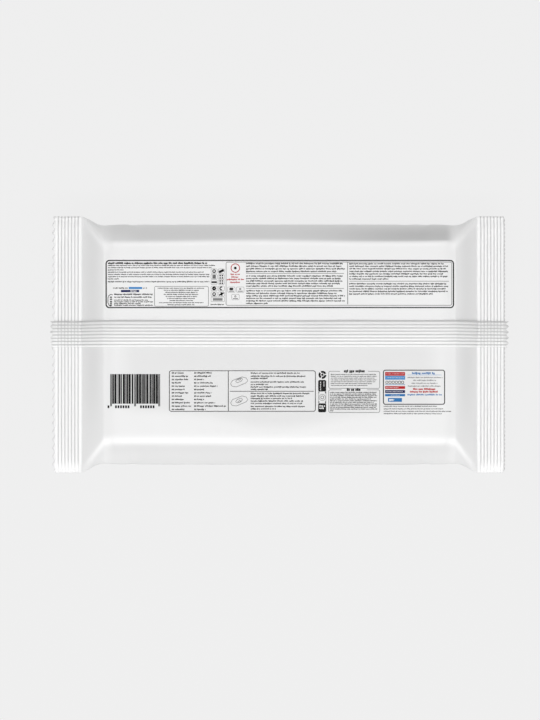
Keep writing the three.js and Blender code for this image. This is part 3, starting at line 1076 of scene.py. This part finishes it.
def draw_claims(art):
    """The framed bands of red and blue, with lines in the same colours beside them."""
    art.frame("dark", 56.0, -32.4, 89.0, -14.0, 1.1, 0.5, "black")
    for ink, low, high in (("red", -17.0, -15.0), ("light_blue", -19.1, -17.15),
                           ("red", -24.1, -22.6), ("navy", -26.3, -24.75),
                           ("blue", -28.1, -26.85)):
        art.bar(ink, 56.9, low, 67.7, high)
    for x0, x1, y in ((57.4, 67.2, -16.0), (57.4, 67.2, -18.1), (57.2, 64.5, -23.35),
                      (57.4, 66.5, -25.5), (60.0, 65.0, -27.5), (59.4, 62.2, -30.0)):
        art.words("white", x0, x1, y, 0.21, 0.8)
    for k in range(6):
        left = 57.3 + 1.7 * k
        art.frame("dark", left, -21.2, left + 1.15, -19.9, 0.3, 0.3)
    art.bar("blue", 56.9, -21.95, 67.7, -21.7)
    art.bar("blue", 58.5, -31.05, 66.0, -29.0)
    art.words("white", 59.2, 62.0, -30.0, 0.8)
    art.words("blue", 71.4, 84.9, -15.7, 0.75)
    art.bar("light_blue", 69.0, -16.65, 87.3, -16.5)
    for x0, x1, y in ((69.0, 88.0, -18.0), (72.0, 84.3, -19.5), (71.1, 85.2, -21.1),
                      (69.2, 87.1, -22.6)):
        art.words("mid", x0, x1, y, 0.46)
    art.words("red", 72.0, 84.1, -24.25, 0.62, 1.15)
    art.words("red", 70.3, 86.0, -25.7, 0.62, 1.15)
    art.words("blue", 68.9, 87.6, -27.3, 0.58)
    for reach, y in ((84.9, -33.5), (88.4, -34.9), (93.0, -36.2), (87.6, -37.5)):
        art.words("dark", 56.1, reach, y, 0.36)


def build_ink(shape, strips, lift, thickness):
    """One colour's marks: a ribbon web over the film, cut between marks and given a thickness."""
    sections = [section for strip in strips for section in strip]
    gaps, at = set(), -1
    for strip in strips:
        at += len(strip)
        gaps.add(at)

    def place(column, row):
        x, y = sections[column][row]
        point = shape.back(x * MM, y * MM)
        point.y = y * MM
        return point + Vector((0, 0, lift))

    ribbon = add_web(len(sections), 2, place)
    edit_selected(
        ribbon, "FACE", lambda face: min(v % len(sections) for v in face.vertices) in gaps
    )
    bpy.ops.mesh.delete(type="FACE")
    bpy.ops.mesh.select_all(action="SELECT")
    bpy.ops.mesh.remove_doubles(threshold=0.0001 * MM)
    bpy.ops.object.mode_set(mode="OBJECT")
    edit_selected(ribbon, "FACE", lambda face: face.normal.z < 0)
    bpy.ops.mesh.flip_normals()
    bpy.ops.object.mode_set(mode="OBJECT")
    layer = ribbon.modifiers.new("Ink film", "SOLIDIFY")
    layer.thickness = thickness
    layer.offset = 1
    bpy.ops.object.modifier_apply(modifier=layer.name)
    return ribbon


# ---- Materials ----


def film_material(film):
    """Satin white laminate: a clear outer film over a white printing ground, so its reflections are
    soft and its white isn't chalky. Its colour runs from grey to white by the stored tone, which
    holds painted highlight and painted shade."""
    material, tree = new_material("satin white laminate film")
    white, grey = (list(c) + [1.0] for c in (film.white, film.grey))
    # The stored tone, with its painted highlight and painted shade, sets how far the colour runs
    # from grey to white.
    layers = add_node(tree, "ShaderNodeAttribute", attribute_name="whiteness")
    coords = add_node(tree, "ShaderNodeTexCoord").outputs["Object"]
    # The white ground's density drifts over about 40 mm of film.
    drift = add_node(
        tree, "ShaderNodeTexNoise", {"Vector": coords, "Scale": 1 / (40 * MM), "Detail": 2.0}
    )
    density = add_node(
        tree,
        "ShaderNodeMapRange",
        {"Value": drift.outputs["Fac"], "To Min": -0.03, "To Max": 0.03},
    )
    tone = add_node(
        tree,
        "ShaderNodeMath",
        {0: layers.outputs["Fac"], 1: density.outputs["Result"]},
        operation="ADD",
        use_clamp=True,
    )
    colour_mix = add_node(tree, "ShaderNodeMix", data_type="RGBA")
    tree.links.new(tone.outputs[0], colour_mix.inputs["Factor"])
    colour_mix.inputs[6].default_value = grey
    colour_mix.inputs[7].default_value = white
    # Fine orange peel of the laminate, drawn at 1.5 mm so that it shows.
    peel = add_node(
        tree, "ShaderNodeTexNoise", {"Vector": coords, "Scale": 1 / (1.5 * MM), "Detail": 1.0}
    )
    bump = add_node(
        tree,
        "ShaderNodeBump",
        {"Height": peel.outputs["Fac"], "Strength": 0.12, "Distance": 0.02 * MM},
    )
    shader = add_node(
        tree,
        "ShaderNodeBsdfPrincipled",
        {
            "Base Color": colour_mix.outputs[2],
            "Roughness": 0.3,
            "IOR": 1.5,
            "Normal": bump.outputs["Normal"],
        },
    )
    add_node(tree, "ShaderNodeOutputMaterial", {"Surface": shader.outputs["BSDF"]})
    return material


def ink_material(name, ink):
    """Matt gravure ink: black soaks up nearly all light. Its cells leave the colour uneven."""
    material, tree = new_material(name)
    coords = add_node(tree, "ShaderNodeTexCoord").outputs["Object"]
    # Real gravure cells are about 0.15 mm apart, and are drawn at 0.6 mm so that they show.
    cells = add_node(
        tree, "ShaderNodeTexNoise", {"Vector": coords, "Scale": 1 / (0.6 * MM), "Detail": 2.0}
    )
    thin = [lerp(c, 0.6, 0.03) for c in ink] + [1.0]
    density = add_node(tree, "ShaderNodeMix", {"Factor": cells.outputs["Fac"]}, data_type="RGBA")
    density.inputs[6].default_value = list(ink) + [1.0]
    density.inputs[7].default_value = thin
    shader = add_node(
        tree,
        "ShaderNodeBsdfPrincipled",
        {
            "Base Color": density.outputs[2],
            "Roughness": 0.5,
            "IOR": 1.5,
            "Specular IOR Level": 0.1,
        },
    )
    add_node(tree, "ShaderNodeOutputMaterial", {"Surface": shader.outputs["BSDF"]})
    return material


def label_material(settings):
    """Glossy polypropylene label film, tinted all over, with a darker lifting tab."""
    material, tree = new_material("gloss polypropylene label")
    coords = add_node(tree, "ShaderNodeTexCoord").outputs["Object"]
    place = add_node(tree, "ShaderNodeSeparateXYZ", {"Vector": coords})
    tab_start = settings.width / 2 + TAB_PRINT_START
    tab = add_node(
        tree,
        "ShaderNodeMapRange",
        {
            "Value": place.outputs["X"],
            "From Min": tab_start,
            "From Max": tab_start + TAB_PRINT_EDGE,
        },
    )
    tint = add_node(tree, "ShaderNodeMix", {"Factor": tab.outputs["Result"]}, data_type="RGBA")
    tint.inputs[6].default_value = list(settings.label_colour) + [1.0]
    tint.inputs[7].default_value = list(settings.tab_colour) + [1.0]
    # The stuck film is faintly wavy, about every 3 mm.
    drift = add_node(
        tree, "ShaderNodeTexNoise", {"Vector": coords, "Scale": 1 / (3 * MM), "Detail": 2.0}
    )
    bump = add_node(
        tree,
        "ShaderNodeBump",
        {"Height": drift.outputs["Fac"], "Strength": 0.15, "Distance": 0.02 * MM},
    )
    shader = add_node(
        tree,
        "ShaderNodeBsdfPrincipled",
        {
            "Base Color": tint.outputs[2],
            "Roughness": 0.18,
            "IOR": 1.49,
            "Normal": bump.outputs["Normal"],
        },
    )
    add_node(tree, "ShaderNodeOutputMaterial", {"Surface": shader.outputs["BSDF"]})
    return material


def floor_material(stage):
    """Translucent acrylic lit from below: it glows evenly, and shows hardly any shadow."""
    material, tree = new_material("lit acrylic sweep")
    glow = add_node(
        tree, "ShaderNodeEmission", {"Color": list(stage.floor_colour) + [1.0], "Strength": 0.93}
    )
    skin = add_node(tree, "ShaderNodeBsdfDiffuse", {"Color": [0.06, 0.06, 0.06, 1.0]})
    both = add_node(tree, "ShaderNodeAddShader")
    tree.links.new(glow.outputs[0], both.inputs[0])
    tree.links.new(skin.outputs[0], both.inputs[1])
    output = add_node(tree, "ShaderNodeOutputMaterial")
    tree.links.new(both.outputs[0], output.inputs["Surface"])
    return material


# ---- Operators ----


class WIPES_OT_film(bpy.types.Operator):
    """Models the film web with its end seals and side tucks"""

    bl_idname = "wipes.film"
    bl_label = "Film"

    def execute(self, context):
        film = context.scene.wipes_film
        shape = FilmShape(film, context.scene.wipes_fin)
        piece = build_film(shape)
        finish_piece(piece, "film_web", film_material(film), "film", "film_pack")
        return {"FINISHED"}


class WIPES_OT_fin(bpy.types.Operator):
    """Models the back seam's fin"""

    bl_idname = "wipes.fin"
    bl_label = "Back fin"

    def execute(self, context):
        fin = context.scene.wipes_fin
        shape = FilmShape(context.scene.wipes_film, fin)
        piece = build_fin(shape, fin)
        finish_piece(piece, "back_fin", bpy.data.materials["satin white laminate film"], "film",
                     "film_pack")
        return {"FINISHED"}


class WIPES_OT_label(bpy.types.Operator):
    """Models the resealable label on the front"""

    bl_idname = "wipes.label"
    bl_label = "Resealable label"

    def execute(self, context):
        label = context.scene.wipes_label
        finish_piece(build_label(label), "front_label", label_material(label), "label",
                     "reseal_label")
        return {"FINISHED"}


class WIPES_OT_print(bpy.types.Operator):
    """Prints the back panel, one piece for each ink"""

    bl_idname = "wipes.print"
    bl_label = "Back print"

    def execute(self, context):
        inks = context.scene.wipes_print
        shape = FilmShape(context.scene.wipes_film, context.scene.wipes_fin)
        art = Artwork()
        draw_upper(art)
        draw_lower(art)
        for ink, strips in art.strips.items():
            # White type lies on top of the colour bands.
            lift = 2 * inks.lift + inks.thickness if ink == "white" else inks.lift
            piece = build_ink(shape, strips, lift, inks.thickness)
            title = ink.replace("_", " ")
            material = ink_material(f"matt {title} gravure ink", getattr(inks, ink))
            finish_piece(piece, f"ink_{ink}", material, "ink")
        return {"FINISHED"}


class WIPES_OT_stage(bpy.types.Operator):
    """Adds the floor, the lights and the camera"""

    bl_idname = "wipes.stage"
    bl_label = "Stage"

    def execute(self, context):
        stage = context.scene.wipes_stage
        add_floor(stage)
        add_lights(context.scene)
        add_camera(context.scene, stage)
        context.scene.view_settings.view_transform = "Standard"
        return {"FINISHED"}


def add_floor(stage):
    """A wide round sweep that fills every view."""
    deselect()
    bpy.ops.mesh.primitive_circle_add(vertices=96, radius=6.0, fill_type="NGON")
    floor = bpy.context.object
    floor.name = "floor"
    floor.data.materials.append(floor_material(stage))


def add_softbox(name, place, target, width, height, power):
    """A rectangular light at a place, turned to face a target."""
    data = bpy.data.lights.new(name, "AREA")
    data.shape = "RECTANGLE"
    data.size = width
    data.size_y = height
    data.energy = power
    light = bpy.data.objects.new(name, data)
    bpy.context.scene.collection.objects.link(light)
    light.location = place
    light.rotation_euler = (target - place).to_track_quat("-Z", "Y").to_euler()


def around(azimuth, elevation, distance):
    """A place round the pack: azimuth 0 is +X, 90 is +Y, in degrees."""
    az, el = math.radians(azimuth), math.radians(elevation)
    flat = math.cos(el) * distance
    return Vector((math.cos(az) * flat, math.sin(az) * flat, math.sin(el) * distance))


def add_lights(scene):
    """Even light from all round, and softboxes over the pack, before it and at both ends."""
    world = bpy.data.worlds.new("studio air")
    scene.world = world
    world.use_nodes = True
    backdrop = world.node_tree.nodes["Background"]
    backdrop.inputs["Color"].default_value = (1, 1, 1, 1)
    backdrop.inputs["Strength"].default_value = AIR_LIGHT
    half_height = Vector((0, 0, 20 * MM))
    for name, azimuth, elevation, distance, width, height, power in SOFTBOXES:
        place = around(azimuth, elevation, distance)
        add_softbox(name, place, half_height, width, height, power)


def add_camera(scene, stage):
    """A camera that looks straight down on the back panel."""
    data = bpy.data.cameras.new("camera")
    data.sensor_width = 36
    data.lens = data.sensor_width * stage.camera_height / stage.view_height
    camera = bpy.data.objects.new("camera", data)
    scene.collection.objects.link(camera)
    half_height = (FILM_LOW.z + FILM_HIGH.z - FIN_STAND) / 2
    camera.location = (stage.camera_x, stage.camera_y, half_height + stage.camera_height)
    scene.camera = camera


class WIPES_PT_panel(bpy.types.Panel):
    """Lists the pack's pieces in the 3D view's sidebar"""

    bl_idname = "WIPES_PT_panel"
    bl_label = "Wet wipes pack"
    bl_space_type = "VIEW_3D"
    bl_region_type = "UI"
    bl_category = "Wipes"

    def draw(self, context):
        for operator in OPERATORS:
            self.layout.operator(operator.bl_idname)


SETTINGS = {
    "wipes_film": WipesFilm,
    "wipes_fin": WipesFin,
    "wipes_label": WipesLabel,
    "wipes_print": WipesPrint,
    "wipes_stage": WipesStage,
}
OPERATORS = (WIPES_OT_film, WIPES_OT_fin, WIPES_OT_label, WIPES_OT_print, WIPES_OT_stage)


def register():
    for group in (*SETTINGS.values(), *OPERATORS, WIPES_PT_panel):
        bpy.utils.register_class(group)
    for name, group in SETTINGS.items():
        setattr(bpy.types.Scene, name, bpy.props.PointerProperty(type=group))


def unregister():
    for name in SETTINGS:
        delattr(bpy.types.Scene, name)
    for group in (WIPES_PT_panel, *reversed(OPERATORS), *SETTINGS.values()):
        bpy.utils.unregister_class(group)


def main():
    register()
    bpy.ops.wipes.film()
    bpy.ops.wipes.fin()
    bpy.ops.wipes.label()
    bpy.ops.wipes.print()
    bpy.ops.wipes.stage()


if __name__ == "__main__":
    main()
